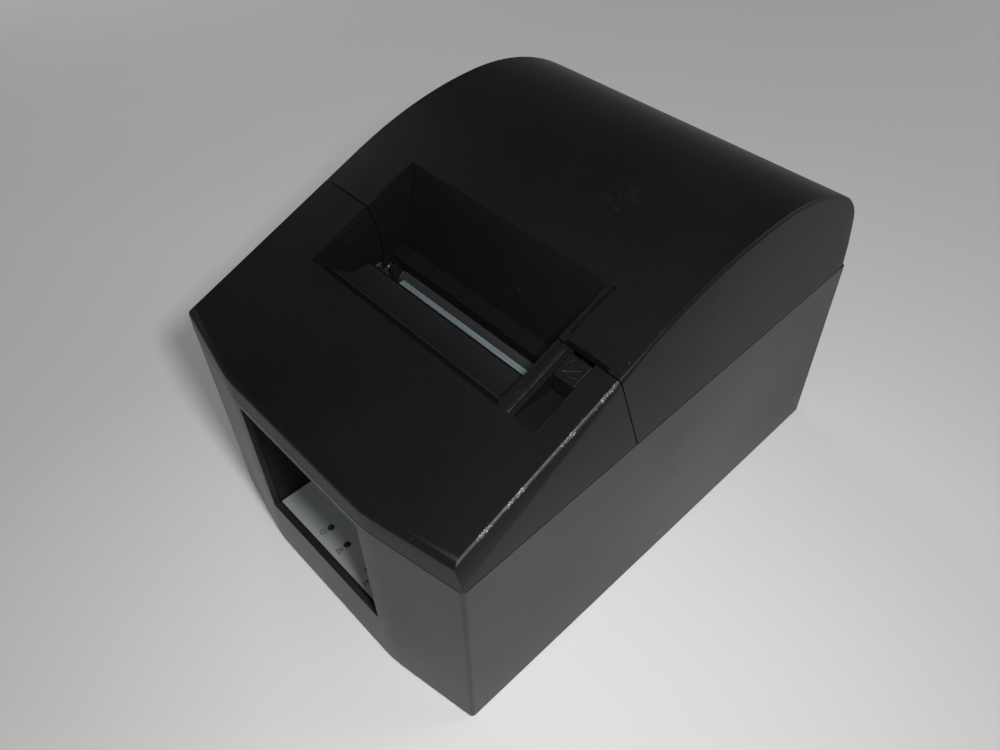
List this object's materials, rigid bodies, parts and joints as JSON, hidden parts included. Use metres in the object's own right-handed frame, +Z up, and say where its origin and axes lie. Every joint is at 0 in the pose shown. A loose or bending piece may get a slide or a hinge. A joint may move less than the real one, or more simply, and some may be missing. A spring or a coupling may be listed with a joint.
{
  "type": "receipt printer",
  "caption": "Desktop thermal receipt printer: a case with a hinged paper cover, front window, paper slot, sliding cover latch, feed drive, cutter and rear sockets.",
  "frame": {"origin": "middle of the footprint, at the underside of the rubber feet", "axes": "+Z up, +X to the right of someone facing the printer, +Y from the front window to the back panel"},
  "size_m": [0.147, 0.218, 0.144],
  "materials": {
    "case_plastic": "satin black, finely textured",
    "inner_plastic": "matte black",
    "sheet_steel": "plated sheet steel",
    "blade_steel": "ground steel with a cool tint",
    "heat_sink_aluminium": "extruded",
    "foot_rubber": "matte",
    "label_film": "grey printed film",
    "led_green": "tinted clear resin",
    "led_red": "tinted clear resin",
    "circuit_board": "green solder mask",
    "gear_plastic": "natural acetal",
    "head_ceramic": "glazed ceramic on a backing plate"
  },
  "bodies": {
    "base": {"back_panel": "sheet_steel", "bottom_plate": "sheet_steel", "case_screw_1": "sheet_steel", "case_screw_2": "sheet_steel", "case_screw_3": "sheet_steel", "case_screw_4": "sheet_steel", "cover_switch": "inner_plastic", "cutter_housing": "inner_plastic", "cutter_motor": "sheet_steel", "drawer_socket": "inner_plastic", "error_led": "led_red", "foot_back_left": "foot_rubber", "foot_back_right": "foot_rubber", "foot_front_left": "foot_rubber", "foot_front_right": "foot_rubber", "front_cover": "case_plastic", "head_heat_sink": "heat_sink_aluminium", "head_spring_left": "sheet_steel", "head_spring_right": "sheet_steel", "hinge_bracket_left": "sheet_steel", "hinge_bracket_right": "sheet_steel", "hinge_rod": "sheet_steel", "idler_pin": "sheet_steel", "interface_socket": "sheet_steel", "lever_guide": "inner_plastic", "lever_spring": "sheet_steel", "lower_case": "case_plastic", "main_board": "circuit_board", "mechanism_base": "sheet_steel", "mechanism_crossbar": "sheet_steel", "mechanism_frame_left": "sheet_steel", "mechanism_frame_right": "sheet_steel", "panel_board": "circuit_board", "panel_label": "label_film", "panel_screw_1": "sheet_steel", "panel_screw_2": "sheet_steel", "paper_end_sensor": "inner_plastic", "paper_guide_strip": "blade_steel", "paper_hopper": "inner_plastic", "paper_motor": "sheet_steel", "power_inlet": "inner_plastic", "power_led": "led_green", "power_supply": "circuit_board", "print_head": "head_ceramic", "switch_housing": "inner_plastic", "window_bezel": "inner_plastic"},
    "cover": {"rear_cover": "case_plastic", "platen_holder": "inner_plastic", "platen_bush_left": "gear_plastic", "platen_bush_right": "gear_plastic"},
    "platen": {"platen_shaft": "sheet_steel", "platen_roller": "foot_rubber", "platen_gear": "gear_plastic"},
    "latch": {"cover_lever": "case_plastic"},
    "button": {"feed_button": "inner_plastic"},
    "blade": {"cutter_blade": "blade_steel"},
    "blade_gear": {"cutter_gear": "gear_plastic"},
    "pinion": {"motor_pinion": "sheet_steel"},
    "idler": {"idler_gear": "gear_plastic"},
    "rocker": {"power_rocker": "inner_plastic"}
  },
  "joints": [
    {"name": "cover_hinge", "type": "hinge", "parent": "base", "child": "cover", "pos_m": [0, 0.0908, 0.1042], "axis": [-1, 0, 0], "range_deg": [0, 90]},
    {"name": "platen_spin", "type": "hinge", "parent": "cover", "child": "platen", "pos_m": [0, -0.025, 0.088], "axis": [1, 0, 0], "continuous": true},
    {"name": "motor_spin", "type": "hinge", "parent": "base", "child": "pinion", "pos_m": [-0.055, -0.047, 0.044], "axis": [1, 0, 0], "continuous": true},
    {"name": "idler_spin", "type": "hinge", "parent": "base", "child": "idler", "pos_m": [-0.055, -0.0366, 0.0649], "axis": [1, 0, 0], "continuous": true},
    {"name": "latch_slide", "type": "slide", "parent": "base", "child": "latch", "axis": [0, -1, 0], "range_m": [0, 0.004], "stiffness_N_per_m": 300, "deforming": ["lever_spring"]},
    {"name": "feed_press", "type": "slide", "parent": "base", "child": "button", "axis": [0, 0, -1], "range_m": [0, 0.001], "stiffness_N_per_m": 400},
    {"name": "blade_slide", "type": "slide", "parent": "base", "child": "blade", "axis": [0, 1, 0], "range_m": [0, 0.007]},
    {"name": "blade_gear_spin", "type": "hinge", "parent": "base", "child": "blade_gear", "pos_m": [-0.0282, -0.049, 0.0872], "axis": [1, 0, 0], "range_deg": [-60, 10]},
    {"name": "power_rock", "type": "hinge", "parent": "base", "child": "rocker", "pos_m": [0.042, 0.091, 0.024], "axis": [1, 0, 0], "range_deg": [0, 14]}
  ],
  "couplings": [
    {"joint": "idler_spin", "follows": "platen_spin", "ratio": -0.45},
    {"joint": "motor_spin", "follows": "platen_spin", "ratio": 1.5},
    {"joint": "blade_gear_spin", "follows": "blade_slide", "rad_per_m": -131.58}
  ]
}
